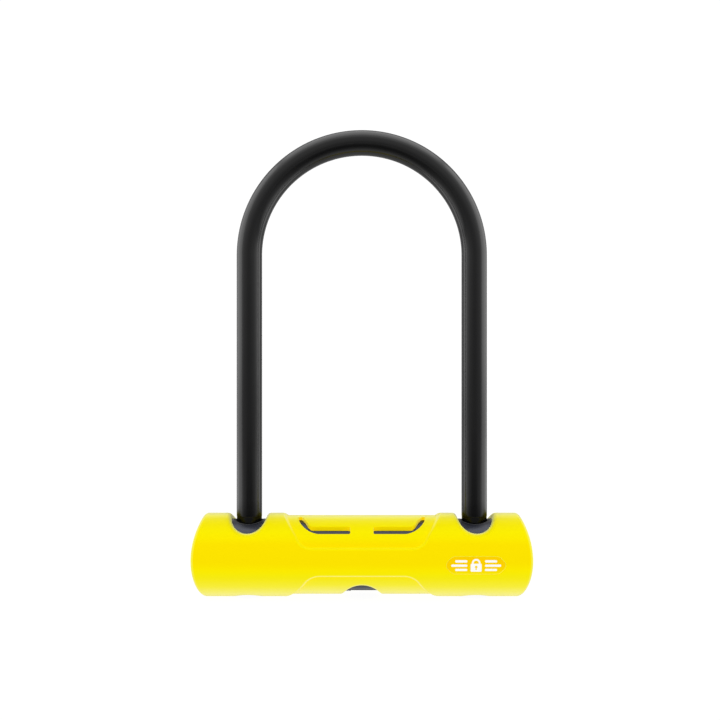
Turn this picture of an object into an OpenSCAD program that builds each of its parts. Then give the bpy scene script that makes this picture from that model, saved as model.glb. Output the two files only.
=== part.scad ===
// U-lock: a coated steel shackle held in a tubular crossbar by two sliding bolts.
// X runs along the crossbar, Z points up the shackle, -Y is the front.
// The origin is the middle of the lock's underside, so the crossbar's axis is cover_d / 2 above it.
// Inside the modules heights are measured from the crossbar's axis. All sizes are in millimetres.

/* [Shackle] */
// Diameter of the bare steel bar
bar_d = 12; // [10:0.5:12]
// Thickness of the vinyl coating on the bar
coat_t = 0.55; // [0.3:0.05:0.6]
// Distance between the two leg axes
leg_pitch = 116; // [112:1:118]
// Height of the bend's centre above the crossbar axis
bend_z = 154.2; // [80:0.1:260]
// How far the feet reach below the crossbar axis
foot_depth = 11.5; // [10.5:0.1:12]

/* [Crossbar cover] */
// Outer diameter of the thick parts of the cover
cover_d = 42.4; // [42:0.1:44]
// Depth of the recesses in the middle of the cover
recess_depth = 1.2; // [0.8:0.1:1.3]
// Overall length of the crossbar
cover_len = 170.8; // [168:0.2:176]
// Radius of the rounded ends, seen from the front
end_arc_r = 50; // [44:1:60]
// Radius of the scoop around each leg
scoop_r = 9.7; // [9.2:0.1:9.9]
// Radius of the scoop around the keyhole
key_scoop_r = 10.6; // [10:0.1:11]

/* [Tube and lock] */
// Outer diameter of the steel tube
tube_d = 36.5; // [36.5:0.1:36.8]
// Wall of the steel tube
tube_wall = 3.05; // [2.8:0.05:3.05]
// Throw radius of the two pins on the drive cam
cam_throw = 4; // [3.6:0.1:4.1]
// Number of discs in the key cylinder
disc_count = 7; // [4:1:7]

/* [Hidden] */
$fn = 96;

fit = 0.1;                       // sliding clearance
close_fit = 0.05;
far = 30;                        // past the crossbar in Y and Z, for cutters
far_x = 100;                     // past the crossbar's ends

leg_x = leg_pitch / 2;
legs = [-leg_x, leg_x];
bar_r = bar_d / 2;
coat_r = bar_r + coat_t;
cover_r = cover_d / 2;
tube_r = tube_d / 2;
tube_bore_r = tube_r - tube_wall;
core_r = tube_bore_r - fit;      // everything that slides into the tube
collar_r = 7.95;
collar_z = 12.2;                 // underside of the leg collars
drain_r = 2.5;                   // small hole below each foot
nose_r = 7.4;                    // nose of the key cylinder, in the tube's keyhole
flat_z = -16.4;                  // milled flat under the tube, for the keyhole slider
bolt_z = 5;                      // height of the bolt noses
bolt_r = 4.5;
cam_pin = cam_throw * sin(45);   // X and Y distance of the cam's pins from its axis

YELLOW = [0.98, 0.87, 0.03];
BLACK = [0.07, 0.07, 0.075];
STEEL = [0.62, 0.63, 0.65];
ZINC = [0.55, 0.56, 0.58];
BRASS = [0.78, 0.62, 0.3];

// ---- helpers
// Moves a piece from the crossbar axis to the lock's own frame.
module placed() translate([0, 0, cover_r]) children();
module flipped() mirror([1, 0, 0]) children();
module both_sides() for (side = [0, 1]) mirror([side, 0, 0]) children();
module xcyl(r, x0, x1, z = 0) translate([x0, 0, z]) rotate([0, 90, 0]) cylinder(r = r, h = x1 - x0);
module ycyl(r, y0, y1, x = 0, z = 0)
    translate([x, y1, z]) rotate([90, 0, 0]) cylinder(r = r, h = y1 - y0);
module zcyl(r, z0, z1, x = 0, y = 0) translate([x, y, z0]) cylinder(r = r, h = z1 - z0);
module box(x0, x1, y0, y1, z0, z1) translate([x0, y0, z0]) cube([x1 - x0, y1 - y0, z1 - z0]);
// a flat shape drawn in X and Z, extruded along Y
module front_prism(y0, y1)
    translate([0, y1, 0]) rotate([90, 0, 0]) linear_extrude(height = y1 - y0) children();

// ---- cover
cover_bore_r = tube_r + fit;
end_wall = 3;
arc_x = cover_len / 2 - end_arc_r; // centre of each end arc
leg_scoop_z = 22.1;
key_scoop_z = -23.9;
under_leg_r = 8.3;               // hole in the underside below each leg

// Seen from the front, the crossbar is a bar whose two ends are arcs.
module end_profile(r) intersection() {
    union() {
        square([2 * arc_x, 4 * cover_r], center = true);
        both_sides() intersection() {
            translate([arc_x, 0]) circle(r = r);
            translate([arc_x - 1, -2 * cover_r]) square([200, 4 * cover_r]);
        }
    }
    square([400, 3 * cover_r], center = true);
}

// Half outline of a recess on the unrolled cover: x along the bar, s around it from the front line.
// A level edge at s = edge, a rounded corner and a side that leans outwards by lean per mm.
recess_steps = 8;
function recess_half(edge, corner_x, lean, round_r) =
    let (turn = atan(1 / lean),
         round_x = corner_x - round_r * tan(turn / 2),
         round_s = edge + round_r,
         side_s = round_s - round_r * cos(turn),
         crest_s = 90 * PI / 180 * cover_r)
    concat([for (i = [0:recess_steps]) let (angle = turn * i / recess_steps)
                [round_x + round_r * sin(angle), round_s - round_r * cos(angle)]],
           [for (i = [1:recess_steps]) let (s = side_s + (crest_s - side_s) * i / recess_steps)
                [corner_x + lean * (s - edge), s]]);
// Rolls a point [x, s] onto the cover, as seen from the front.
function rolled(point) = [point[0], cover_r * sin(point[1] / cover_r * 180 / PI)];
module recess_shape(edge, corner_x, lean, round_r) {
    half = [for (point = recess_half(edge, corner_x, lean, round_r)) rolled(point)];
    right = concat(half, [[half[len(half) - 1][0], cover_r + 4]]);
    left = [for (i = [len(right) - 1:-1:0]) [-right[i][0], right[i][1]]];
    polygon(concat(right, left));
}
module recesses() difference() {
    front_prism(-far, far) {
        recess_shape(edge = 6.1, corner_x = 31.2, lean = 0.336, round_r = 8.6);
        mirror([0, 1]) recess_shape(edge = 8.08, corner_x = 25.96, lean = 0.586, round_r = 8.8);
    }
    xcyl(cover_r - recess_depth, -far_x, far_x);
}

// Four L-shaped slots in the top, two in front and two behind, cut straight down,
// which take the claws of a carrying holder.
slot_floor_z = 4;
slot_x0 = 5.6;                   // inner end
slot_outer_y = 15.4;             // outer edge of the long arm
slot_w = 3.3;
slot_stop = 3.8;                 // end of the short arm
slot_bend = 20.85;               // where the outer edge starts to turn
slot_inner_x = 25.26;            // where the straight inner edges would meet
slot_lean = 27.3;                // lean of the short arm's inner edge, in degrees
slot_corner = 2.5;               // inner corner radius
module holder_slot() {
    bend_r = slot_outer_y - slot_stop;
    corner_x = slot_inner_x - slot_corner * tan(45 - slot_lean / 2);
    tangent = slot_corner * [cos(slot_lean), sin(slot_lean)];
    difference() {
        union() {
            translate([slot_x0, slot_stop]) square([slot_bend - slot_x0, bend_r]);
            translate([slot_bend, slot_stop]) intersection() {
                circle(r = bend_r);
                square([20, 20]);
            }
        }
        translate([corner_x, slot_outer_y - slot_w - slot_corner]) {
            circle(r = slot_corner);
            polygon([[-40, slot_corner], [0, slot_corner], tangent,
                     tangent + 20 * [sin(slot_lean), -cos(slot_lean)], [-40, -20]]);
        }
    }
}
module holder_slots() both_sides() for (side = [0, 1]) mirror([0, side, 0])
    translate([0, 0, slot_floor_z]) linear_extrude(height = 24) holder_slot();

module cover_whole() difference() {
    intersection() {
        xcyl(cover_r, -far_x, far_x);
        front_prism(-far, far) end_profile(end_arc_r);
    }
    recesses();
    intersection() {
        xcyl(cover_bore_r, -far_x, far_x);
        front_prism(-far, far) end_profile(end_arc_r - end_wall);
    }
    for (x = legs) {
        ycyl(scoop_r, -far, far, x, leg_scoop_z);
        zcyl(under_leg_r, -far, -5, x);
    }
    ycyl(key_scoop_r, -far, far, 0, key_scoop_z);
    holder_slots();
}

// Flat clips on the front half enter sockets in the rear half, above and below the tube.
seam_gap = 0.05;                 // from the middle plane to each half
clip_places = [-73, -43.5, 43.5, 73];
clip_z = 19.8;
module clips(grow, y0) {
    half_w = 3 + grow;
    half_t = 0.5 + grow;
    for (x = clip_places, side = [-1, 1])
        translate([x, 0, side * clip_z]) box(-half_w, half_w, y0, 2.4 + grow, -half_t, half_t);
}

badge_place = [56.8, -2];        // X and Z of its centre
badge_size = [14.7, 4.45];       // half length and half height
badge_cut = 3.2;                 // its cut corners
badge_floor_r = cover_r - 0.5;
module badge_outline(grow) {
    x = badge_size[0] + grow;
    z = badge_size[1] + grow;
    cut = badge_cut;
    translate(badge_place) polygon([[-x + cut, -z], [x - cut, -z], [x, -z + cut], [x, z - cut],
                                    [x - cut, z], [-x + cut, z], [-x, z - cut], [-x, -z + cut]]);
}
module front_cover() color(YELLOW) placed() {
    difference() {
        intersection() {
            cover_whole();
            box(-far_x, far_x, -far, -seam_gap, -far, far);
        }
        difference() {
            front_prism(-far, -10) badge_outline(close_fit);
            xcyl(badge_floor_r, -far_x, far_x);
        }
    }
    clips(0, -1.5);
}
module rear_cover() color(YELLOW) placed() difference() {
    intersection() {
        cover_whole();
        box(-far_x, far_x, seam_gap, far, -far, far);
    }
    clips(fit, -1);
}
module badge() color("white") placed() intersection() {
    difference() {
        xcyl(cover_r + 0.05, 30, 80);
        xcyl(badge_floor_r + 0.02, 29, 81);
    }
    front_prism(-far, -10) badge_outline(0);
}

// ---- tube
tube_half = 77.5;
plug_x = [66.8, 77.3];           // inner and outer end of each plug
plug_hollow = [10.5, 71.2];      // radius and outer end of its hollow
plug_pin_x = 74;
plug_pin_places = [-plug_pin_x, plug_pin_x];
plug_pin_half = 18.1;
module body_tube() color(BLACK) placed() difference() {
    xcyl(tube_r, -tube_half, tube_half);
    xcyl(tube_bore_r, -tube_half - 1, tube_half + 1);
    for (x = legs) {
        zcyl(collar_r + fit, 5, far, x);
        zcyl(drain_r, -far, -5, x);
    }
    zcyl(nose_r + fit, -far, -5);
    box(-9.8, 24.2, -20, 20, -far, flat_z);
    for (x = plug_pin_places) ycyl(2, -far, far, x);
}
module end_plug() difference() {
    xcyl(core_r, plug_x[0], plug_x[1]);
    xcyl(plug_hollow[0], 66, plug_hollow[1]);
    ycyl(2.02, -far, far, plug_pin_x);
}
module end_plug_right() color(STEEL) placed() end_plug();
module end_plug_left() color(STEEL) placed() flipped() end_plug();
// Hollow pins, each with a slit along its +X side.
module end_plug_pins() color(STEEL) placed() for (x = plug_pin_places) difference() {
    ycyl(1.98, -plug_pin_half, plug_pin_half, x);
    ycyl(1.2, -19, 19, x);
    box(x, x + 3, -19, 19, -0.25, 0.25);
}

// ---- leg guides
collar_bore_r = coat_r + 0.15;
ring_groove_r = 7.25;
ring_groove_z = [14, 15.4];
flare_z = 16;                    // the collar's bore widens above this
flare_h = 2.6;
socket_x = [49.6, 66.5];
socket_floor_z = -12.4;
module leg_collar() difference() {
    intersection() {
        zcyl(collar_r, collar_z, far, leg_x);
        xcyl(tube_r - close_fit, 40, 76);
    }
    zcyl(collar_bore_r, 5, far, leg_x);
    zcyl(ring_groove_r, ring_groove_z[0], ring_groove_z[1], leg_x);
    translate([leg_x, 0, flare_z]) cylinder(r1 = collar_bore_r, r2 = collar_bore_r + 1, h = flare_h);
}
module leg_collar_right() color(BLACK) placed() leg_collar();
module leg_collar_left() color(BLACK) placed() flipped() leg_collar();
module wiper_rings() color(BLACK) placed() for (x = legs) difference() {
    zcyl(ring_groove_r - close_fit, ring_groove_z[0] + close_fit, ring_groove_z[1] - close_fit, x);
    zcyl(coat_r - 0.04, 10, 20, x);
}
module leg_socket() difference() {
    xcyl(core_r, socket_x[0], socket_x[1]);
    zcyl(bar_r + 0.15, socket_floor_z, far, leg_x);
    zcyl(drain_r, -far, 0, leg_x);
    zcyl(collar_r + fit, collar_z - fit, far, leg_x);
    xcyl(bolt_r + fit, 49, leg_x, bolt_z);
}
module leg_socket_right() color(STEEL) placed() leg_socket();
module leg_socket_left() color(STEEL) placed() flipped() leg_socket();

// ---- chassis
chassis_half = 49.5;
chassis_gap = 0.02;              // from the middle plane to each half
screw_places = [-42, -20, 20, 42];
screw_z = -7;
cylinder_r = 9.5;
cylinder_top = 4;
bolt_top = 11.1;
block_half_y = 5;                // the bolts' blocks
block_floor = 0.3;
// Two pins, or their holes, run along Y through the flanks of the key cylinder.
module cross_pins(r, half_len) for (x = [-9.9, 9.9]) ycyl(r, -half_len, half_len, x, -8);
module cross_pin_holes() cross_pins(1.52, 8.1);
module chassis_whole() difference() {
    xcyl(core_r, -chassis_half, chassis_half);
    zcyl(cylinder_r + close_fit, -far, cylinder_top + fit);
    zcyl(7.1, 4, 7.5);                                      // drive cam
    box(-20, 20, -7.5, 7.5, 7.4, bolt_top + 0.2);           // bolt tails
    both_sides() {
        box(13.2, 32.2, -block_half_y - fit, block_half_y + fit, block_floor - fit, bolt_top + 0.2);
        xcyl(bolt_r + fit, 32, 60, bolt_z);                 // bolt noses
    }
    cross_pin_holes();
    for (x = screw_places) {
        ycyl(1.55, -far, 8.2, x, screw_z);
        ycyl(2.95, -far, -8.9, x, screw_z);
    }
}
module chassis_front() color(ZINC) placed() intersection() {
    chassis_whole();
    box(-60, 60, -far, -chassis_gap, -far, far);
}
module chassis_rear() color(ZINC) placed() intersection() {
    chassis_whole();
    box(-60, 60, chassis_gap, far, -far, far);
}
module chassis_screws() color(STEEL) placed() for (x = screw_places) difference() {
    union() {
        ycyl(1.5, -10, 8, x, screw_z);
        ycyl(2.8, -11.6, -8.95, x, screw_z);
    }
    // hexagon socket
    translate([x, -11.7, screw_z]) rotate([-90, 0, 0]) cylinder(r = 1.45, h = 1.5, $fn = 6);
}

// ---- key cylinder
drum_r = 6.5;
face_z = -16.3;                  // lower face of the nose
chamber_z = -14.4;               // floor of the drum's disc chamber
disc_r = 5.15;
disc_pitch = 2.3;
disc_t = 1.6;
disc_z0 = -14.2;
tongue = [3, 1.5, 6];            // half length, half width and top of the drum's tongue
keyway_l = 7.6;
keyway_w = 2.4;
module keyway(z0, z1) box(-keyway_l / 2, keyway_l / 2, -keyway_w / 2, keyway_w / 2, z0, z1);
module disc_notch() zcyl(1, -15, 5, 0, 5.55);               // for the sidebar
module cylinder_body() color(BRASS) placed() difference() {
    union() {
        intersection() {
            zcyl(cylinder_r, -16, cylinder_top);
            xcyl(core_r, -20, 20);
        }
        zcyl(nose_r, face_z, 0);
    }
    zcyl(drum_r + close_fit, -20, 10);
    zcyl(1.05, -14.5, 2, 0, 6.15);                          // sidebar groove, open position
    zcyl(1.05, -14.5, 2, -6.15, 0);                         // sidebar groove, locked position
    cross_pin_holes();
}
module cylinder_pins() color(STEEL) placed() cross_pins(1.5, 8);
module plug_drum() color(BRASS) placed() difference() {
    union() {
        zcyl(drum_r, -15.6, cylinder_top);
        box(-tongue[0], tongue[0], -tongue[1], tongue[1], 3.9, tongue[2]);
    }
    zcyl(disc_r + close_fit, chamber_z, 2);
    keyway(-16, -14);
    box(-0.95, 0.95, 4.4, 7, chamber_z, 1.8);               // sidebar slot
    zcyl(1.25, 1.5, 7);                                     // cam screw
}
module anti_drill_disc() color(STEEL) placed() difference() {
    zcyl(drum_r - close_fit, face_z, -15.65);
    keyway(-17, -15);
}
module locking_discs() color(BRASS) placed() for (i = [0:disc_count - 1]) difference() {
    zcyl(disc_r, disc_z0 + i * disc_pitch, disc_z0 + i * disc_pitch + disc_t);
    keyway(-15, 5);
    disc_notch();
}
module disc_spacers() color(STEEL) placed() for (i = [0:disc_count - 2]) difference() {
    zcyl(disc_r, disc_z0 + i * disc_pitch + disc_t + close_fit,
         disc_z0 + (i + 1) * disc_pitch - close_fit);
    zcyl(4.1, -20, 20);
    disc_notch();
}
module sidebar() color(STEEL) placed() zcyl(0.85, disc_z0, 1.6, 0, 5.6);
module drive_cam() color(STEEL) placed() {
    slot_x = tongue[0] + close_fit;
    slot_y = tongue[1] + close_fit;
    difference() {
        zcyl(6.8, 4.2, 7.2);
        box(-slot_x, slot_x, -slot_y, slot_y, 4, tongue[2] + fit);
        zcyl(1.6, 4, 8);
        zcyl(2.45, 6.2, 8);
    }
    for (place = [-cam_pin, cam_pin]) zcyl(1.5, 7.1, 10.9, place, place);
}
module cam_screw() color(STEEL) placed() difference() {
    union() {
        zcyl(1.23, 2.2, 6.4);
        zcyl(2.35, 6.25, 7.4);
    }
    box(-1.8, 1.8, -0.3, 0.3, 6.9, 8);
}

// ---- locking bolts, drawn in the open position
nose_end_x = 50.5;
nose_taper = 0.8;
// A slotted tail driven by a cam pin, then a block and a round nose.
module bolt() {
    difference() {
        box(-cam_pin - 4.4, 14, -7.2, -0.3, 7.6, bolt_top);
        box(-cam_pin - 1.7, -cam_pin + 1.7, -5.75, -1.1, 7, 12);
    }
    box(13.5, 26, -block_half_y, block_half_y, block_floor, bolt_top);
    xcyl(bolt_r, 25.5, nose_end_x, bolt_z);
    translate([nose_end_x, 0, bolt_z]) rotate([0, 90, 0])
        cylinder(r1 = bolt_r, r2 = bolt_r - nose_taper, h = nose_taper);
}
module bolt_right() color(STEEL) placed() bolt();
module bolt_left() color(STEEL) placed() rotate([0, 0, 180]) bolt();

// ---- keyhole slider, with three ridges near its -X end
slider_half = 9.3;
module keyhole_slider() color(BLACK) placed() {
    intersection() {
        xcyl(tube_r - close_fit, -slider_half, slider_half);
        box(-slider_half, slider_half, -7.4, 7.4, -20, flat_z - close_fit);
    }
    intersection() {
        for (x = [-8.1, -7.1, -6.1]) xcyl(tube_r + 0.35, x - 0.25, x + 0.25);
        box(-8.6, -5.6, -4, 4, -22, -17.5);
    }
}

// ---- shackle, drawn fully home
foot_chamfer = 1.5;
notch_x = leg_x - 0.6;           // bottom of the notch in each foot
notch_half_h = 4.8;
coat_step_z = 20;                // the coating is thinner below this
module u_bar(r, z0) {
    for (x = legs) zcyl(r, z0, bend_z, x);
    translate([0, 0, bend_z]) rotate([90, 0, 0])
        rotate_extrude(angle = 180) translate([leg_x, 0]) circle(r = r);
}
module shackle_bar() color(STEEL) placed() difference() {
    union() {
        u_bar(bar_r, -foot_depth + foot_chamfer);
        for (x = legs) translate([x, 0, -foot_depth])
            cylinder(r1 = bar_r - foot_chamfer, r2 = bar_r, h = foot_chamfer);
    }
    both_sides() box(leg_x - 10, notch_x, -10, 10, bolt_z - notch_half_h, bolt_z + notch_half_h);
}
module shackle_coating() color(BLACK) placed() difference() {
    union() {
        u_bar(coat_r, coat_step_z);
        for (x = legs) zcyl(coat_r - 0.1, 12.6, coat_step_z, x);
    }
    u_bar(bar_r + 0.01, 5);
}

front_cover();
rear_cover();
badge();
body_tube();
end_plug_left();
end_plug_right();
end_plug_pins();
leg_collar_left();
leg_collar_right();
wiper_rings();
leg_socket_left();
leg_socket_right();
chassis_front();
chassis_rear();
chassis_screws();
cylinder_body();
cylinder_pins();
plug_drum();
anti_drill_disc();
locking_discs();
disc_spacers();
drive_cam();
cam_screw();
sidebar();
bolt_left();
bolt_right();
keyhole_slider();
shackle_bar();
shackle_coating();
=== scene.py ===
# A U-shaped lock. Its crossbar lies along x on the floor in a yellow cover of two halves, and its
# shackle stands up in +z. Front is -y, the side with the badge and the camera; left is -x.

import math
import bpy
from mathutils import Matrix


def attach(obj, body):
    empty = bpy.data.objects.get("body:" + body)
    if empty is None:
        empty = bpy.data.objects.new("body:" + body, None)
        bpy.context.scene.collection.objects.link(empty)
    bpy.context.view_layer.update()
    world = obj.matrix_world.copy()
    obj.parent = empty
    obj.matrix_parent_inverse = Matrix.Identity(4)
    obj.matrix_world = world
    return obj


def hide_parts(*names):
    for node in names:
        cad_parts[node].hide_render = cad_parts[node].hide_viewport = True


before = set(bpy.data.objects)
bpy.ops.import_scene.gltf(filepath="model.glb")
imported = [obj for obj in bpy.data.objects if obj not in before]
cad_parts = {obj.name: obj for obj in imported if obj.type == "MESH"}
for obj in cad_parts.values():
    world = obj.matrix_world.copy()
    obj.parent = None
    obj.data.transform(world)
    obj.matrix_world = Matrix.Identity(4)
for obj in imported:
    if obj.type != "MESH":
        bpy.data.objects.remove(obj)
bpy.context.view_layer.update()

from concurrent.futures import ThreadPoolExecutor
import bpy
import numpy as np

# Sizes are in millimetres about the crossbar's axis, up to the studio section.
# A piece is lifted by LIFT and scaled to metres when it is made.
COVER_R, RECESS_R = 21.2, 20.0
TUBE_R, BORE_R = 18.25, 18.29
LIFT = COVER_R
MM = 0.001
LEG_X, BEND_Z = 58.0, 154.2
BADGE_X, BADGE_Z = 56.8, -2.0


# ------------------------------------------------------------------ signed distances
def cut_round(first, second, radius):
    """What lies in both shapes, with their shared edge rounded."""
    over_first = np.maximum(first + radius, 0)
    over_second = np.maximum(second + radius, 0)
    corner = np.sqrt(over_first * over_first + over_second * over_second)
    return np.minimum(np.maximum(first, second), -radius) + corner


def join_round(first, second, radius):
    return -cut_round(-first, -second, radius)


def wedge(first, second, cosine):
    """The corner kept by two straight edges, given the cosine between their normals."""
    by_first = (second - first * cosine <= 0) & (first > 0)
    by_second = (first - second * cosine <= 0) & (second > 0)
    squared = first * first + second * second - 2 * first * second * cosine
    corner = np.sqrt(np.maximum(squared, 0) / (1 - cosine * cosine))
    outside = np.where(by_first, first, np.where(by_second, second, corner))
    return np.where((first > 0) | (second > 0), outside, np.maximum(first, second))


# ------------------------------------------------------------------ cover shape
TOP_WALL, LOW_WALL = 2.2, 1.8           # width of the slope round each recess
END_X = 35.4                            # centre of the rounded ends, seen from the front
OUTER_END_R, HOLLOW_END_R = 50.0, 47.0
LEG_NOTCH_R, LEG_NOTCH_Z = 9.45, 22.1   # notch through y at the top of each leg
LOW_NOTCH_R, LOW_NOTCH_Z = 10.6, -23.9  # notch through y, low in the middle
LEG_HOLE_R = 8.3                        # upright hole below each leg
HALF_GAP = 0.05                         # from the y = 0 plane to each half


def recess_edge(side_x, arc, start_arc, start_x, lean, corner):
    """Distance on the unrolled cover to a recess's edge, below zero inside it."""
    slant = math.sqrt(1 + lean * lean)
    end = (start_arc - arc) + corner
    side = (side_x - start_x - lean * (arc - start_arc)) / slant + corner
    return wedge(end, side, lean / slant) - corner


def smooth(t):
    t = np.clip(t, 0, 1)
    return t * t * (3 - 2 * t)


def outer_radius(x, y, z):
    """The cover's radius, less in a wide recess above and another below."""
    side_x = np.abs(x)
    arc = COVER_R * np.arctan2(z, np.abs(y) + 1e-9)
    bow = 0.0105 * np.maximum(arc - 15, 0) ** 2
    top = recess_edge(side_x + bow, arc, start_arc=6.4, start_x=30.1, lean=0.49, corner=7.5)
    low = recess_edge(side_x, -arc, start_arc=8.15, start_x=26.0, lean=0.586, corner=8.8)
    edge = np.minimum(top / TOP_WALL, low / LOW_WALL)
    return RECESS_R + (COVER_R - RECESS_R) * smooth(edge + 0.5)


def end_shape(x, z, radius):
    past = np.maximum(np.abs(x) - END_X, 0)
    return np.sqrt(past * past + z * z) - radius


def bent_slot(x, y):
    """A slot seen from above, mirrored in x and y, that runs along x and bends towards y = 0."""
    side_x, side_y = np.abs(x), np.abs(y)
    start_x, bend_x = 5.9, 20.85
    stop_y, edge_y = 3.8, 15.25
    power = 2.25                        # squareness of the outer bend
    past_x, past_y = np.maximum(side_x - bend_x, 0), np.maximum(side_y - stop_y, 0)
    bend = (past_x ** power + past_y ** power) ** (1 / power) - (edge_y - stop_y)
    outer = np.where(side_x < bend_x, side_y - edge_y, bend)
    island_x, island_y, island_corner = 26.35, 12.07, 3.5
    lean = math.radians(27.3)
    flat = side_y - island_y
    slant = (side_x - island_x) * math.cos(lean) + flat * math.sin(lean)
    island = wedge(flat + island_corner, slant + island_corner, math.sin(lean)) - island_corner
    slot = np.maximum(outer, -island)
    return cut_round(cut_round(slot, start_x - side_x, 0.6), stop_y - side_y, 0.5)


def badge_outline(x, z, grow):
    """A rectangle with its corners cut off."""
    half_length, half_height, corner_cut = 14.7 + grow, 4.45 + grow, 3.2
    side_x, side_z = np.abs(x - BADGE_X), np.abs(z - BADGE_Z)
    corner = (side_x + side_z - (half_length + half_height - corner_cut)) / math.sqrt(2)
    return cut_round(np.maximum(side_x - half_length, side_z - half_height), corner, 0.9)


def cover_body(x, y, z):
    leg_x = np.abs(x) - LEG_X
    radial = np.hypot(y, z)
    # far inside, so that a cut made on one side only leaves the other side alone
    uncut = -10.0
    body = cut_round(radial - outer_radius(x, y, z), end_shape(x, z, OUTER_END_R), 1.6)
    body = cut_round(body, LEG_NOTCH_R - np.hypot(leg_x, z - LEG_NOTCH_Z), 1.8)
    body = cut_round(body, LOW_NOTCH_R - np.hypot(x, z - LOW_NOTCH_Z), 1.1)
    body = cut_round(body, np.where(z < 0, LEG_HOLE_R - np.hypot(leg_x, y), uncut), 0.8)
    body = cut_round(body, np.where(z > 2, -bent_slot(x, y), uncut), 0.06)
    pocket = np.maximum(badge_outline(x, z, grow=0.05), 20.7 - radial)
    body = cut_round(body, np.where(y < 0, -pocket, uncut), 0.25)
    hollow = np.maximum(radial - BORE_R, end_shape(x, z, HOLLOW_END_R))
    return cut_round(body, -hollow, 0.05)


def cover_half(side):
    """The half of the cover in front (side -1) or behind (side 1)."""
    return lambda x, y, z: cut_round(cover_body(x, y, z), HALF_GAP - side * y, 0.3)


# ------------------------------------------------------------------ meshing
BLOCK = 200000  # samples worked out at once


def sample(shape, xs, ys, zs):
    out = np.empty((len(xs), len(ys), len(zs)), np.float32)
    step = max(1, int(BLOCK / (len(ys) * len(zs))))

    def fill(i):
        x, y, z = np.meshgrid(xs[i:i + step], ys, zs, indexing="ij")
        out[i:i + step] = shape(x, y, z)

    with ThreadPoolExecutor(4) as pool:
        list(pool.map(fill, range(0, len(xs), step)))
    return out


def surface_nets(values, grids):
    """One vertex in each cell that the surface crosses, and one quad round each crossed edge."""
    inside = values < 0
    count = np.zeros([k - 1 for k in values.shape], np.uint8)
    wide, deep, high = count.shape
    for i, j, k in np.ndindex(2, 2, 2):
        count += inside[i:i + wide, j:j + deep, k:k + high]
    crossed = (count > 0) & (count < 8)
    cells = np.argwhere(crossed)
    index = np.full(crossed.shape, -1, np.int32)
    index[crossed] = np.arange(len(cells))

    # a vertex is the mean of the places where its cell's edges are crossed
    total = np.zeros((len(cells), 3))
    hits = np.zeros(len(cells))
    for axis in range(3):
        for i, j in np.ndindex(2, 2):
            start = np.insert([i, j], axis, 0)
            end = np.insert([i, j], axis, 1)
            at_start = values[tuple((cells + start).T)].astype(float)
            at_end = values[tuple((cells + end).T)].astype(float)
            cut = (at_start < 0) != (at_end < 0)
            part = np.where(cut, at_start / np.where(cut, at_start - at_end, 1), 0)
            place = start + part[:, None] * (end - start)
            total[cut] += place[cut]
            hits[cut] += 1
    places = cells + total / hits[:, None]
    points = np.stack([np.interp(places[:, k], np.arange(len(grid)), grid)
                       for k, grid in enumerate(grids)], 1)

    quads = []
    for axis in range(3):
        across, along = (axis + 1) % 3, (axis + 2) % 3
        edges = np.argwhere(np.diff(inside, axis=axis))
        for k in (across, along):
            edges = edges[(edges[:, k] > 0) & (edges[:, k] < values.shape[k] - 1)]
        corners = []
        for i, j in ((-1, -1), (0, -1), (0, 0), (-1, 0)):
            cell = edges.copy()
            cell[:, across] += i
            cell[:, along] += j
            corners.append(index[tuple(cell.T)])
        quad = np.stack(corners, 1)
        flip = ~inside[tuple(edges.T)]
        quad[flip] = quad[flip][:, ::-1]
        quads.append(quad)
    return points, np.concatenate(quads)


def gradient(shape, points, reach=0.02):
    slope = np.empty_like(points)
    for k in range(3):
        ahead, behind = points.copy(), points.copy()
        ahead[:, k] += reach
        behind[:, k] -= reach
        slope[:, k] = (shape(*ahead.T) - shape(*behind.T)) / (2 * reach)
    return slope


def project(shape, points, times, longest=0.3):
    """Move the points onto the surface, each step no longer than longest."""
    for _ in range(times):
        value = shape(*points.T)
        slope = gradient(shape, points)
        squared = np.maximum((slope * slope).sum(1), 1e-3)
        step = (value / squared)[:, None] * slope
        length = np.maximum(np.linalg.norm(step, axis=1), 1e-9)
        points = points - step * np.minimum(1, longest / length)[:, None]
    return points


def relax(shape, points, quads, times):
    """Even out the mesh along the surface."""
    edges = np.concatenate([quads[:, [i, (i + 1) % 4]] for i in range(4)])
    here = np.concatenate([edges[:, 0], edges[:, 1]])
    there = np.concatenate([edges[:, 1], edges[:, 0]])
    size = len(points)
    degree = np.bincount(here, minlength=size).astype(float)
    for _ in range(times):
        sums = [np.bincount(here, weights=points[there, k], minlength=size) for k in range(3)]
        mean = np.stack(sums, 1) / degree[:, None]
        points = project(shape, points + 0.5 * (mean - points), 1)
    return points


def mesh_object(name, points, faces):
    """A smooth object from points in metres."""
    mesh = bpy.data.meshes.new(name)
    mesh.from_pydata(points, [], faces)
    mesh.validate()
    mesh.update()
    mesh.polygons.foreach_set("use_smooth", [True] * len(mesh.polygons))
    obj = bpy.data.objects.new(name, mesh)
    bpy.context.scene.collection.objects.link(obj)
    return obj


def piece_object(name, points, faces):
    points = np.array(points, float)
    points[:, 2] += LIFT
    points *= MM
    return mesh_object(name, points.tolist(), faces)


def steps(low, high, cell, dense):
    """Grid planes cell apart, and closer inside each (from, to, step) of dense."""
    out = [low]
    while out[-1] < high:
        near = [step for start, end, step in dense if start <= out[-1] < end]
        out.append(out[-1] + min([cell] + near))
    return np.array(out)


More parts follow.
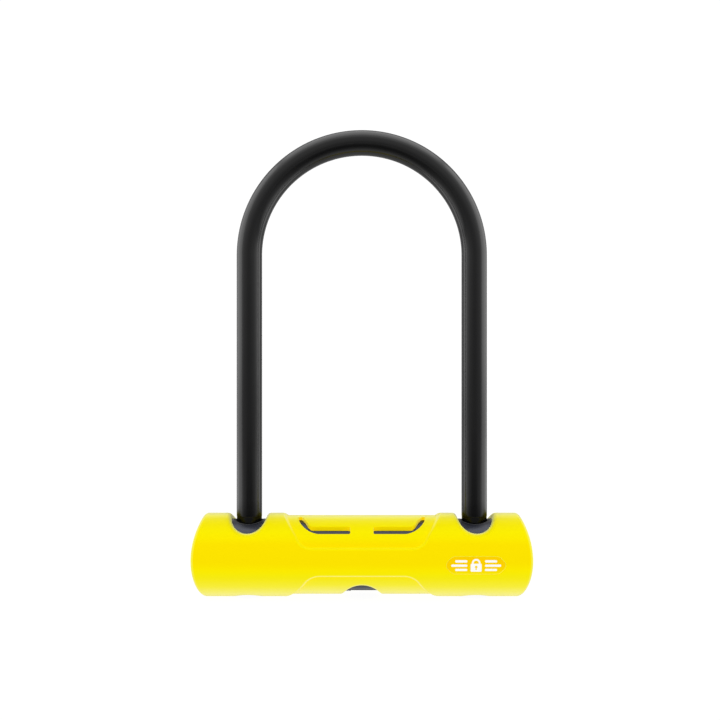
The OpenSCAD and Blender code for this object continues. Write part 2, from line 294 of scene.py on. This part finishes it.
def shape_object(name, shape, low, high, cell, relax_times=2, dense=((), (), ())):
    """The surface of shape inside the box from low to high; dense is given for x, y and z."""
    grids = [steps(low[k], high[k] + cell, cell, dense[k]) for k in range(3)]
    points, quads = surface_nets(sample(shape, *grids), grids)
    points = project(shape, points, 2)
    points = relax(shape, points, quads, relax_times)
    normals = gradient(shape, points, 0.03)
    normals /= np.maximum(np.linalg.norm(normals, axis=1), 1e-9)[:, None]
    obj = piece_object(name, points, quads.tolist())
    obj.data.normals_split_custom_set_from_vertices(normals.tolist())
    return obj


def grid_faces(rows, columns, wrap):
    faces = []
    for i in range(rows if wrap else rows - 1):
        for j in range(columns if wrap else columns - 1):
            row, next_row = i * columns, (i + 1) % rows * columns
            right = (j + 1) % columns
            faces.append((row + j, row + right, next_row + right, next_row + j))
    return faces


def ring_object(name, rows):
    """Rows of points that close on themselves both ways."""
    rows = np.array(rows)
    return piece_object(name, rows.reshape(-1, 3), grid_faces(*rows.shape[:2], wrap=True))


# ------------------------------------------------------------------ shader helpers
class Shader:
    """Short ways to add nodes to one tree and join them."""

    def __init__(self, tree):
        self.tree = tree
        tree.nodes.clear()

    def join(self, value, socket):
        """Link an output to the socket, or give the socket a value; a colour gets its alpha."""
        if hasattr(value, "node"):
            self.tree.links.new(value, socket)
        elif isinstance(value, tuple):
            socket.default_value = value + (1,)
        else:
            socket.default_value = value

    def node(self, kind, inputs=None, **settings):
        made = self.tree.nodes.new(kind)
        for key, value in settings.items():
            setattr(made, key, value)
        for key, value in (inputs or {}).items():
            self.join(value, made.inputs[key])
        return made

    def split(self, vector):
        return self.node("ShaderNodeSeparateXYZ", {0: vector}).outputs

    def math(self, operation, first, second=0.0):
        return self.node("ShaderNodeMath", {0: first, 1: second}, operation=operation).outputs[0]

    def times(self, first, second):
        return self.math("MULTIPLY", first, second)

    def remap(self, source, low=0.0, high=1.0, start=0.3, end=0.7):
        """Goes from low to high as source goes from start to end."""
        return self.node("ShaderNodeMapRange", {
            "From Min": start, "From Max": end, "To Min": low, "To Max": high, 0: source}).outputs[0]

    def ramp(self, source, stops):
        """stops are (position, linear colour)."""
        made = self.node("ShaderNodeValToRGB", {0: source})
        elements = made.color_ramp.elements
        while len(elements) < len(stops):
            elements.new(0.5)
        for element, (position, colour) in zip(elements, stops):
            element.position = position
            element.color = colour + (1,)
        return made.outputs[0]

    def grey_ramp(self, source, stops):
        """stops are (position, level)."""
        return self.ramp(source, [(position, (level,) * 3) for position, level in stops])

    def mix(self, factor, first, second, mode="MIX"):
        return self.node("ShaderNodeMix", {0: factor, 6: first, 7: second},
                         data_type="RGBA", blend_type=mode).outputs[2]

    def mix_levels(self, factor, first, second):
        return self.node("ShaderNodeMix", {0: factor, 2: first, 3: second},
                         data_type="FLOAT").outputs[0]

    def clouded(self, noise, first, second, amount=1.0):
        """The first colour, with up to amount of the second where the noise is high."""
        return self.mix(self.remap(noise, high=amount), first, second)


class Material(Shader):
    """A new material with one principled surface."""

    def __init__(self, name):
        self.material = bpy.data.materials.new(name)
        self.material.use_nodes = True
        super().__init__(self.material.node_tree)
        self.out = self.node("ShaderNodeOutputMaterial")
        self.surface = self.node("ShaderNodeBsdfPrincipled")
        self.join(self.surface.outputs[0], self.out.inputs[0])
        self.place = self.node("ShaderNodeTexCoord").outputs["Object"]

    def noise(self, scale, detail, rough=0.5, stretch=None):
        place = self.place
        if stretch:
            mapping = self.node("ShaderNodeMapping", {"Vector": place})
            mapping.inputs["Scale"].default_value = stretch
            place = mapping.outputs[0]
        return self.node("ShaderNodeTexNoise", {
            "Scale": scale, "Detail": detail, "Roughness": rough, "Vector": place}).outputs["Fac"]

    def bump(self, height, strength, distance):
        made = self.node("ShaderNodeBump", {
            "Strength": strength, "Distance": distance, "Height": height})
        self.join(made.outputs[0], self.surface.inputs["Normal"])

    def set(self, **inputs):
        for key, value in inputs.items():
            self.join(value, self.surface.inputs[key.replace("_", " ")])


def srgb(*channels):
    """A linear colour from channels out of 255."""
    return tuple((c / 255 / 12.92) if c / 255 <= 0.04045 else ((c / 255 + 0.055) / 1.055) ** 2.4
                 for c in channels)


# ------------------------------------------------------------------ materials
def yellow_material(name, green=226):
    """Bright yellow moulded plastic, with painted light in its colour: warm where it faces the eye,
    then a painted sheen, lemon and pale towards the edge of view, sooner from below. A lower green
    makes it warmer."""
    shader = Material(name)
    facing = shader.node("ShaderNodeLayerWeight", {"Blend": 0.5}).outputs["Facing"]

    def painted_sheen_ramp(stops):
        # columns: how far the surface turns from the eye; red, green and blue
        stops = [(0.0, 251, green, 0), (0.03, 251, green, 0)] + stops
        return shader.ramp(facing, [(stop[0], srgb(*stop[1:])) for stop in stops])

    # painted sheen: one ramp for surfaces facing up and one for those facing down, mixed by the
    # normal below, so the top and bottom are painted as if lit differently
    upper = painted_sheen_ramp([
        (0.08, 251, green + 8, 0), (0.15, 250, 237, 0), (0.29, 247, 233, 0), (0.38, 246, 233, 4),
        (0.48, 246, 235, 34), (0.62, 254, 246, 88), (0.83, 255, 255, 155), (0.92, 252, 242, 105),
        (1.0, 248, 232, 60)])
    lower = painted_sheen_ramp([
        (0.08, 252, green + 8, 0), (0.13, 248, 236, 8), (0.18, 246, 235, 17),
        (0.235, 248, 236, 29), (0.29, 247, 237, 44), (0.38, 248, 239, 58), (0.48, 249, 241, 88),
        (0.7, 252, 246, 124), (0.88, 252, 243, 105), (1.0, 248, 234, 60)])
    normal = shader.split(shader.node("ShaderNodeNewGeometry").outputs["Normal"])
    colour = shader.mix(shader.remap(normal["Z"], start=0.1, end=-0.35), upper, lower)

    # painted highlight: paler where the far ends turn sideways
    painted_rim_highlight = shader.grey_ramp(shader.math("ABSOLUTE", normal["X"]), [
        (0.0, 0), (0.06, 0), (0.18, 0.15), (0.4, 0.7), (1.0, 0.65)])
    side_x = shader.math("ABSOLUTE", shader.split(shader.place)["X"])
    turned = shader.grey_ramp(facing, [(0.0, 0), (0.01, 0.3), (0.06, 1), (1.0, 1)])
    painted_rim_highlight = shader.times(shader.times(painted_rim_highlight, turned), shader.remap(side_x, start=0.072, end=0.075))
    colour = shader.mix(painted_rim_highlight, colour, srgb(249, 240, 85))

    # painted light in the corners: a glow that lights up the hollows, and a painted amber shade
    # there away from the far ends
    occlusion = shader.node("ShaderNodeAmbientOcclusion", {"Distance": 0.004},
                            samples=4, only_local=True)
    shut = shader.math("SUBTRACT", 1.0, occlusion.outputs["AO"])
    shader.set(Emission_Color=colour, Emission_Strength=shader.times(shut, 0.7))
    inner = shader.remap(side_x, low=1.6, high=0.0, start=0.043, end=0.046)
    colour = shader.mix(shader.times(shut, inner), colour, srgb(250, 190, 14))

    cloud = shader.noise(scale=60, detail=3)
    colour = shader.clouded(cloud, colour, srgb(246, 216, 0), amount=0.04)
    shader.set(Base_Color=colour, Roughness=shader.remap(cloud, low=0.26, high=0.34), IOR=1.49,
               Specular_IOR_Level=shader.remap(facing, low=0.04, high=0.2),
               Specular_Tint=(1.0, 0.95, 0.1))
    shader.bump(shader.noise(scale=5200, detail=2, rough=0.6), strength=0.08, distance=0.00003)
    return shader.material


def vinyl_material():
    """Glossy black, with a weaker shine low on the legs, painted shade where they go into the cover.
    """
    shader = Material("black_vinyl_coat")
    peel = shader.noise(scale=900, detail=3, rough=0.55)
    grain = shader.noise(scale=9000, detail=2, rough=0.6)
    colour = shader.clouded(shader.noise(scale=120, detail=4), srgb(6, 6, 7), srgb(9, 9, 10))
    height = shader.split(shader.place)["Z"]
    shader.set(Base_Color=colour, Roughness=shader.remap(peel, low=0.17, high=0.21), IOR=1.5,
               Specular_IOR_Level=shader.remap(height, low=0.12, high=0.5, start=0.037, end=0.05))
    shader.bump(shader.math("ADD", peel, shader.times(grain, 0.3)),
                strength=0.08, distance=0.00004)
    return shader.material


def steel_material(name, base, stretch, rough=(0.22, 0.38)):
    """Ground or turned steel, with fine lines across the stretched direction and cloudy wear.
    rough is the least and the greatest roughness."""
    shader = Material(name)
    lines = shader.noise(scale=1.0, detail=4, rough=0.65, stretch=stretch)
    cloud = shader.noise(scale=180, detail=4)
    worn, scored = [srgb(*[int(k * shade) for k in base]) for shade in (0.82, 0.7)]
    colour = shader.clouded(cloud, srgb(*base), worn, amount=0.5)
    colour = shader.clouded(lines, colour, scored, amount=0.22)
    shader.set(Base_Color=colour, Metallic=1.0, Roughness=shader.remap(lines, *rough))
    shader.bump(lines, strength=0.12, distance=0.00002)
    return shader.material


def plain_material(name, colours, cloud, grain, rough, bump, amount=1.0, **inputs):
    """Two colours (out of 255) clouded together over a fine grain.
    cloud and grain are noise (scale, detail, roughness, stretch), the last two optional; rough
    is the least and the greatest roughness; bump is (strength, distance)."""
    shader = Material(name)
    fine = shader.noise(*grain)
    first, second = colours
    colour = shader.clouded(shader.noise(*cloud), srgb(*first), srgb(*second), amount)
    shader.set(Base_Color=colour, Roughness=shader.remap(fine, *rough), **inputs)
    shader.bump(fine, *bump)
    return shader.material


YELLOW = yellow_material("yellow_cover_plastic")
AMBER = yellow_material("warm_badge_plastic", green=207)
VINYL = vinyl_material()
TUBE = plain_material(
    "black_coated_tube", colours=((17, 18, 26), (24, 26, 38)), cloud=(200, 4), grain=(1500, 3),
    rough=(0.2, 0.28), bump=(0.12, 0.00004), Specular_IOR_Level=0.6, Specular_Tint=(0.8, 0.84, 1.0))
NYLON = plain_material(
    "black_nylon", colours=((9, 9, 10), (15, 15, 17)), cloud=(300, 3), grain=(4000, 3, 0.6),
    rough=(0.4, 0.52), bump=(0.2, 0.00004), Specular_IOR_Level=0.42)
RUBBER = plain_material(
    "black_rubber", colours=((20, 20, 20), (32, 31, 31)), cloud=(400, 3), grain=(3000, 4, 0.6),
    rough=(0.65, 0.8), bump=(0.3, 0.00006), Specular_IOR_Level=0.3)
BOLT = steel_material("hardened_bolt_steel", base=(150, 150, 155), stretch=(6000, 300, 300))
BAR = steel_material("hardened_bar_steel", base=(158, 158, 162), stretch=(260, 260, 5200),
                     rough=(0.2, 0.34))
PLATED = steel_material("plated_steel", base=(178, 178, 180), stretch=(2500, 2500, 900),
                        rough=(0.24, 0.4))
ZINC = plain_material(
    "zinc_casting", colours=((150, 152, 156), (184, 186, 188)), cloud=(220, 5, 0.6),
    grain=(3500, 3, 0.6), rough=(0.42, 0.6), bump=(0.3, 0.00005), Metallic=1.0)
BRASS = plain_material(
    "turned_brass", colours=((206, 170, 92), (184, 144, 70)), cloud=(150, 4),
    grain=(1.0, 4, 0.6, (300, 300, 6000)), rough=(0.2, 0.36), bump=(0.12, 0.00002), Metallic=1.0)
PRINT = plain_material(
    "white_print", colours=((255, 255, 252), (240, 238, 226)), cloud=(400, 3), amount=0.2,
    grain=(5000, 2), rough=(0.4, 0.5), bump=(0.08, 0.00002), Specular_IOR_Level=0.4)

NODE_MATERIALS = {
    "body_tube": TUBE, "end_plug_left": PLATED, "end_plug_right": PLATED, "end_plug_pins": PLATED,
    "leg_collar_left": NYLON, "leg_collar_right": NYLON, "wiper_rings": RUBBER,
    "leg_socket_left": ZINC, "leg_socket_right": ZINC, "chassis_front": ZINC,
    "chassis_rear": ZINC, "chassis_screws": PLATED, "cylinder_body": BRASS,
    "cylinder_pins": PLATED, "plug_drum": BRASS, "anti_drill_disc": BOLT, "locking_discs": BRASS,
    "disc_spacers": PLATED, "drive_cam": BOLT, "cam_screw": PLATED, "sidebar": BOLT,
    "bolt_left": BOLT, "bolt_right": BOLT, "keyhole_slider": NYLON, "shackle_bar": BAR,
    "shackle_coating": VINYL, "front_cover": YELLOW, "rear_cover": YELLOW, "badge": AMBER,
}


def paint(objects, material):
    """Give one object, or each of several, the material in every slot."""
    for obj in (objects if isinstance(objects, (list, tuple)) else [objects]):
        materials = obj.data.materials
        if not materials:
            materials.append(material)
        else:
            for i in range(len(materials)):
                materials[i] = material
        for slot in obj.material_slots:
            slot.link = "DATA"
            slot.material = material


def fit(obj, material, rides, replaces=None):
    """Paint a new piece, parent it to the body it moves with and hide the part it replaces, if any.
    """
    paint(obj, material)
    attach(obj, rides)
    if replaces:
        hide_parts(replaces)


for node_name, node_material in NODE_MATERIALS.items():
    paint(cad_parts[node_name], node_material)


# ------------------------------------------------------------------ cover halves
CELL, SLOT_CELL = ((0.3, 0.14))
# columns: label, side, y range of the grid, y range with finer cells
COVER_HALVES = [
    ("front", -1, (-22.6, 0.8), (-16.2, -11.4)),
    ("rear", 1, (-0.8, 22.6), (11.4, 16.2)),
]
for label, side, (y_low, y_high), slot_y in COVER_HALVES:
    half = shape_object(
        "cover_" + label + "_half", cover_half(side),
        low=(-87.0, y_low, -22.6), high=(87.0, y_high, 22.6), cell=CELL,
        dense=((), ((*slot_y, SLOT_CELL),), ((12.4, 16.6, SLOT_CELL),)))
    fit(half, YELLOW, "lock_body", label + "_cover")


# ------------------------------------------------------------------ badge with a padlock sign
PLATE_BACK_R = 20.72
SIGN_BACK_R, SIGN_FACE_R = 21.12, 21.26


def front_shell(shape, y, z, back_radius):
    """The part of shape outside back_radius, on the front only."""
    return np.maximum(np.maximum(shape, back_radius - np.hypot(y, z)), y + 5)


def badge_plate(x, y, z):
    plate = cut_round(badge_outline(x, z, grow=0.0), np.hypot(y, z) - COVER_R, 0.25)
    return front_shell(plate, y, z, PLATE_BACK_R)


def sign_outline(x, z):
    """A padlock in the middle with three short bars on each side, in the badge's own plane."""
    across, up = x - BADGE_X, z - BADGE_Z
    side = np.abs(across)
    body = cut_round(side - 2.75, np.abs(up + 1.05) - 2.05, 0.6)
    bow_r, bow_half, bow_up = 1.7, 0.45, 1.25
    arch = np.abs(np.hypot(across, up - bow_up) - bow_r) - bow_half
    bow = np.where(up > bow_up, arch, np.abs(side - bow_r) - bow_half)
    bow = np.maximum(bow, 0.2 - up)
    hole = np.hypot(across, up + 0.7) - 0.62
    slit = np.maximum(side - 0.27, np.abs(up + 1.45) - 0.75)
    lock = np.maximum(np.minimum(body, bow), -np.minimum(hole, slit))
    bar_half, bar_round, bar_pitch = 0.6, 0.45, 2.15
    middle = cut_round(np.abs(side - 8.4) - 4.0, np.abs(up) - bar_half, bar_round)
    outer = cut_round(np.abs(side - 7.4) - 3.0,
                      np.abs(np.abs(up) - bar_pitch) - bar_half, bar_round)
    return np.minimum(lock, np.minimum(middle, outer))


def badge_sign(x, y, z):
    sign = np.maximum(sign_outline(x, z), np.hypot(y, z) - SIGN_FACE_R)
    return front_shell(sign, y, z, SIGN_BACK_R)


plate = shape_object("badge_plate", badge_plate,
                     low=(41.2, -22.2, -7.4), high=(72.4, -19.0, 3.4), cell=0.2)
fit(plate, AMBER, "lock_body", "badge")
sign = shape_object("badge_padlock_sign", badge_sign,
                    low=(43.0, -22.0, -6.6), high=(70.6, -19.6, 2.6), cell=0.11, relax_times=1)
fit(sign, PRINT, "lock_body")


# ------------------------------------------------------------------ shackle coat
COAT_R, COAT_BORE_R = 6.55, 6.02
COAT_LOW_Z = 20.0
# extra rings just above the low end, where the full radius starts
COAT_RINGS = [(z, COAT_R) for z in (20.15, 20.4, 21.0)]
# columns: z, radius, up the thinner lip at the end of each leg
COAT_LIP = [(12.6, COAT_BORE_R), (12.6, 6.36), (12.66, 6.42), (12.75, 6.45),
            (19.6, 6.45), (19.8, 6.47), (19.92, 6.52)]


def shackle_path(leg_steps=14, bend_steps=120):
    """(point, tangent) in x and z: up the left leg, round the bend and down the right leg."""
    leg = BEND_Z - COAT_LOW_Z
    path = [((-LEG_X, COAT_LOW_Z + leg * i / leg_steps), (0, 1)) for i in range(leg_steps)]
    for i in range(bend_steps + 1):
        angle = math.pi - math.pi * i / bend_steps
        point = (LEG_X * math.cos(angle), BEND_Z + LEG_X * math.sin(angle))
        path.append((point, (math.sin(angle), -math.cos(angle))))
    for i in range(leg_steps):
        path.append(((LEG_X, BEND_Z - leg * (i + 1) / leg_steps), (0, -1)))
    return path


def leg_stations(side, profile):
    return [((side * LEG_X, z), (0, -side), radius) for z, radius in profile]


def sweep(name, stations, segments=72):
    """A ring round each (point, tangent, radius); the last ring joins the first."""
    rows = []
    for (x, z), (along_x, along_z), radius in stations:
        row = []
        for k in range(segments):
            angle = 2 * math.pi * k / segments
            out, back = math.cos(angle) * radius, math.sin(angle) * radius
            row.append((x - along_z * out, back, z + along_x * out))
        rows.append(row)
    return ring_object(name, rows)


path = shackle_path()
outer = [(point, tangent, COAT_R) for point, tangent in path]
outer[1:1] = leg_stations(-1, COAT_RINGS)
outer[-1:-1] = leg_stations(1, COAT_RINGS[::-1])
inner = [(point, tangent, COAT_BORE_R) for point, tangent in reversed(path)]
coat = sweep("shackle_vinyl_coat",
             leg_stations(-1, COAT_LIP) + outer + leg_stations(1, COAT_LIP[::-1]) + inner)
fit(coat, VINYL, "shackle", "shackle_coating")


# ------------------------------------------------------------------ leg collars
# columns: radius, z, from the outer low edge in and up the bore
COLLAR_BORE = [
    (7.95, 12.25), (7.9, 12.2), (6.75, 12.2), (6.7, 12.25), (6.7, 13.9), (6.74, 13.98),
    (7.2, 14.0), (7.25, 14.05), (7.25, 15.35), (7.2, 15.4), (6.74, 15.42), (6.7, 15.5),
    (6.7, 15.95), (6.78, 16.15)]
# columns: radius, height over the saddle that follows the tube
COLLAR_TOP = [(6.9, -0.62), (7.05, -0.34), (7.2, -0.14), (7.35, -0.03),
              (7.5, 0.0), (7.7, -0.02), (7.85, -0.08), (7.95, -0.22)]
SADDLE_R = TUBE_R - 0.05


def collar(name, side, segments=96):
    rows = []
    for k in range(segments):
        angle = 2 * math.pi * k / segments
        profile = COLLAR_BORE + [
            (radius, math.sqrt(SADDLE_R * SADDLE_R - (radius * math.sin(angle)) ** 2) + rise)
            for radius, rise in COLLAR_TOP]
        rows.append([(side * LEG_X + radius * math.cos(angle), radius * math.sin(angle), z)
                     for radius, z in profile])
    return ring_object(name, rows)


for side, label in ((-1, "left"), (1, "right")):
    fit(collar("leg_collar_" + label + "_moulding", side),
        NYLON, "lock_body", "leg_collar_" + label)


# ------------------------------------------------------------------ keyhole slider
def slider_shape(x, y, z):
    """A curved plate under the bar with three ribs across its left end."""
    half_length, half_width, plate_r = 9.3, 7.4, 18.2
    rib_xs, rib_half, rib_half_width, rib_r = (-8.1, -7.1, -6.1), 0.3, 4.0, 18.6
    radial = np.hypot(y, z)
    over = z + 16.45
    base = cut_round(np.abs(x) - half_length, np.abs(y) - half_width, 0.8)
    base = np.maximum(cut_round(base, radial - plate_r, 0.15), over)
    ribs = []
    for rib_x in rib_xs:
        rib = cut_round(np.abs(x - rib_x) - rib_half, radial - rib_r, 0.2)
        ribs.append(cut_round(rib, np.abs(y) - rib_half_width, 0.3))
    return np.maximum(join_round(base, np.minimum.reduce(ribs), 0.15), over)


lid = shape_object("keyhole_sliding_lid", slider_shape,
                   low=(-10.0, -8.2, -19.4), high=(10.0, 8.2, -15.8), cell=0.18)
fit(lid, NYLON, "slider", "keyhole_slider")


# ------------------------------------------------------------------ studio floor, in metres
def floor_material():
    """White to the camera, with its own glow for diffuse light and for reflections."""
    shader = Material("studio_white")
    colour = shader.clouded(shader.noise(scale=3, detail=2), (0.08,) * 3, (0.077,) * 3, amount=0.3)
    shader.set(Base_Color=colour, Roughness=0.9, Specular_IOR_Level=0.0)
    place = shader.split(shader.place)
    y = place["Y"]
    ray = shader.node("ShaderNodeLightPath").outputs

    # near the lock, from front to back
    shine = shader.grey_ramp(shader.remap(y, start=-0.3, end=0.3), [
        (0.0, 0.0), (0.18, 0.12), (0.31, 0.4), (0.41, 0.7), (0.5, 0.7), (0.67, 0.5), (1.0, 0.4)])
    fill = shader.grey_ramp(shader.remap(y, start=-0.3, end=0.3), [
        (0.0, 0.92), (0.5, 0.92), (1.0, 0.78)])

    # far out, by how much a place lies to the side
    side_x, side_y = shader.math("ABSOLUTE", place["X"]), shader.math("ABSOLUTE", y)
    reach = shader.math("ADD", side_x, side_y)
    aside = shader.math("DIVIDE", side_x,
                        shader.math("ADD", shader.math("ADD", side_x, side_y), 0.001))
    far = shader.grey_ramp(aside, [
        (0.0, 0.0), (0.2, 0.06), (0.3, 0.2), (0.475, 0.42), (0.56, 0.45), (0.66, 1.05),
        (0.75, 0.9), (1.0, 0.8)])
    gate = shader.times(shader.remap(side_x, start=0.12, end=0.25),
                        shader.remap(reach, low=1.0, high=0.3, start=1.1, end=2.0))
    far = shader.mix(gate, (0, 0, 0), far)
    shine = shader.mix(1.0, shine, far, "LIGHTEN")

    # far in front
    ahead = shader.grey_ramp(shader.remap(y, low=1.0, high=0.0, start=-1.4, end=-0.4), [
        (0.0, 0.0), (0.3, 0.08), (1.0, 0.34)])
    shine = shader.mix(1.0, shine, ahead, "LIGHTEN")
    glow = shader.mix(ray["Is Diffuse Ray"], shine, fill)
    glow = shader.mix(ray["Is Camera Ray"], glow, (0.965,) * 3)
    shader.set(Emission_Color=glow, Emission_Strength=1.0)

    # seen from below, the floor is clear, so the underside can be looked at
    clear = shader.node("ShaderNodeMixShader", {
        0: shader.node("ShaderNodeNewGeometry").outputs["Backfacing"],
        1: shader.surface.outputs[0],
        2: shader.node("ShaderNodeBsdfTransparent").outputs[0]})
    shader.join(clear.outputs[0], shader.out.inputs[0])
    shader.material.cycles.emission_sampling = "NONE"
    return shader.material


def sweep_floor():
    """A floor that curves up into a wall behind, just under z = 0."""
    curve_y, curve_r, curve_steps, drop = 1.2, 0.8, 16, 0.0002
    profile = [(-2.2, 0.0), (-1.0, 0.0), (0.0, 0.0), (curve_y, 0.0)]
    for i in range(1, curve_steps + 1):
        angle = math.pi / 2 * i / curve_steps
        profile.append((curve_y + curve_r * math.sin(angle), curve_r - curve_r * math.cos(angle)))
    profile += [(2.0, 1.6), (2.0, 3.2)]
    xs = [-3.5, -1.5, -0.5, 0, 0.5, 1.5, 3.5]
    points = [(x, y, z - drop) for y, z in profile for x in xs]
    floor = mesh_object("studio_sweep", points, grid_faces(len(profile), len(xs), wrap=False))
    floor.data.materials.append(floor_material())
    return floor


sweep_floor()


# ------------------------------------------------------------------ world
def build_world():
    """One light level for reflections, one for diffuse light and one for the camera."""
    world = bpy.data.worlds.new("studio")
    bpy.context.scene.world = world
    world.use_nodes = True
    world.cycles.sampling_method = "NONE"
    shader = Shader(world.node_tree)

    def level(source, stops, top=1.0):
        """Follows source through stops of (place, level), none of them above top."""
        start, end = stops[0][0], stops[-1][0]
        out = shader.grey_ramp(shader.remap(source, start=start, end=end), [
            ((place - start) / (end - start), value / top) for place, value in stops])
        return out if top == 1.0 else shader.times(out, top)

    ray = shader.node("ShaderNodeLightPath").outputs
    x, y, z = shader.split(shader.node("ShaderNodeTexCoord").outputs["Generated"])
    side_x = shader.math("ABSOLUTE", x)

    # reflections: a bright band round the sides and top, dark towards the camera and low in front
    band = level(y, [(-1, 0.3), (-0.9, 0.42), (-0.73, 0.52), (-0.44, 1.0), (-0.3, 1.25), (0, 1.45),
                     (0.3, 1.3), (0.5, 1.1), (0.7, 0.8), (0.87, 0.4), (1, 0.3)], top=2.0)
    height = level(z, [(-1, 0.1), (-0.3, 0.2), (-0.14, 0.5), (-0.03, 0.95), (0.0, 1.0), (0.1, 1.3),
                       (0.3, 1.5), (0.45, 1.4), (0.65, 1.3), (0.85, 1.9), (1, 1.8)], top=3.0)
    near = level(y, [(-1, 1), (-0.8, 1), (-0.2, 0), (1, 0)])
    shine = shader.times(band, shader.mix_levels(near, 1.0, height))

    # diffuse light: less from behind and the sides, more from above
    fill = level(y, [(-1, 0.99), (-0.2, 0.99), (0.2, 0.98), (1, 0.74)], top=1.1)
    above = level(z, [(-1, 1), (0.2, 1), (0.6, 1.12), (1, 1.25)], top=1.25)
    aside = level(side_x, [(0, 1), (0.55, 1), (1, 0.66)])
    fill = shader.times(fill, shader.times(above, aside))

    strength = shader.mix_levels(ray["Is Diffuse Ray"], shine, fill)
    strength = shader.mix_levels(ray["Is Camera Ray"], strength, 1.05)
    background = shader.node("ShaderNodeBackground", {0: (1, 1, 1), 1: strength})
    shader.node("ShaderNodeOutputWorld", {0: background.outputs[0]})


build_world()


# ------------------------------------------------------------------ lights
def strip(name, place, turn, wide, high, level):
    """A soft strip light that only shows as a reflection; turn is in degrees."""
    light = bpy.data.lights.new(name, "AREA")
    light.shape = "RECTANGLE"
    light.size, light.size_y = wide, high
    light.energy = level * math.pi * wide * high
    obj = bpy.data.objects.new(name, light)
    bpy.context.scene.collection.objects.link(obj)
    obj.location = place
    obj.rotation_euler = [math.radians(angle) for angle in turn]
    obj.visible_camera = False
    obj.visible_diffuse = False


for side, label in ((-1, "left"), (1, "right")):
    strip("strip_" + label, place=(side * 0.15, 0.02, 0.17), turn=(90, 0, side * 90),
          wide=0.13, high=0.36, level=0.9)
strip("strip_top", place=(0.0, 0.03, 0.42), turn=(0, 0, 0), wide=0.36, high=0.2, level=0.8)


# ------------------------------------------------------------------ view and camera
scene = bpy.context.scene
scene.view_settings.view_transform = "Standard"
scene.view_settings.look = "None"
scene.view_settings.exposure = 0.0
scene.view_settings.gamma = 1.0

lens = bpy.data.cameras.new("camera")
lens.lens = 55.0
lens.sensor_width = 36.0
lens.clip_start = 0.01
lens.clip_end = 20.0
camera = bpy.data.objects.new("camera", lens)
scene.collection.objects.link(camera)
camera.location = (-0.00093, -0.5677, 0.1214)
camera.rotation_euler = (math.radians(90), 0, 0)
scene.camera = camera
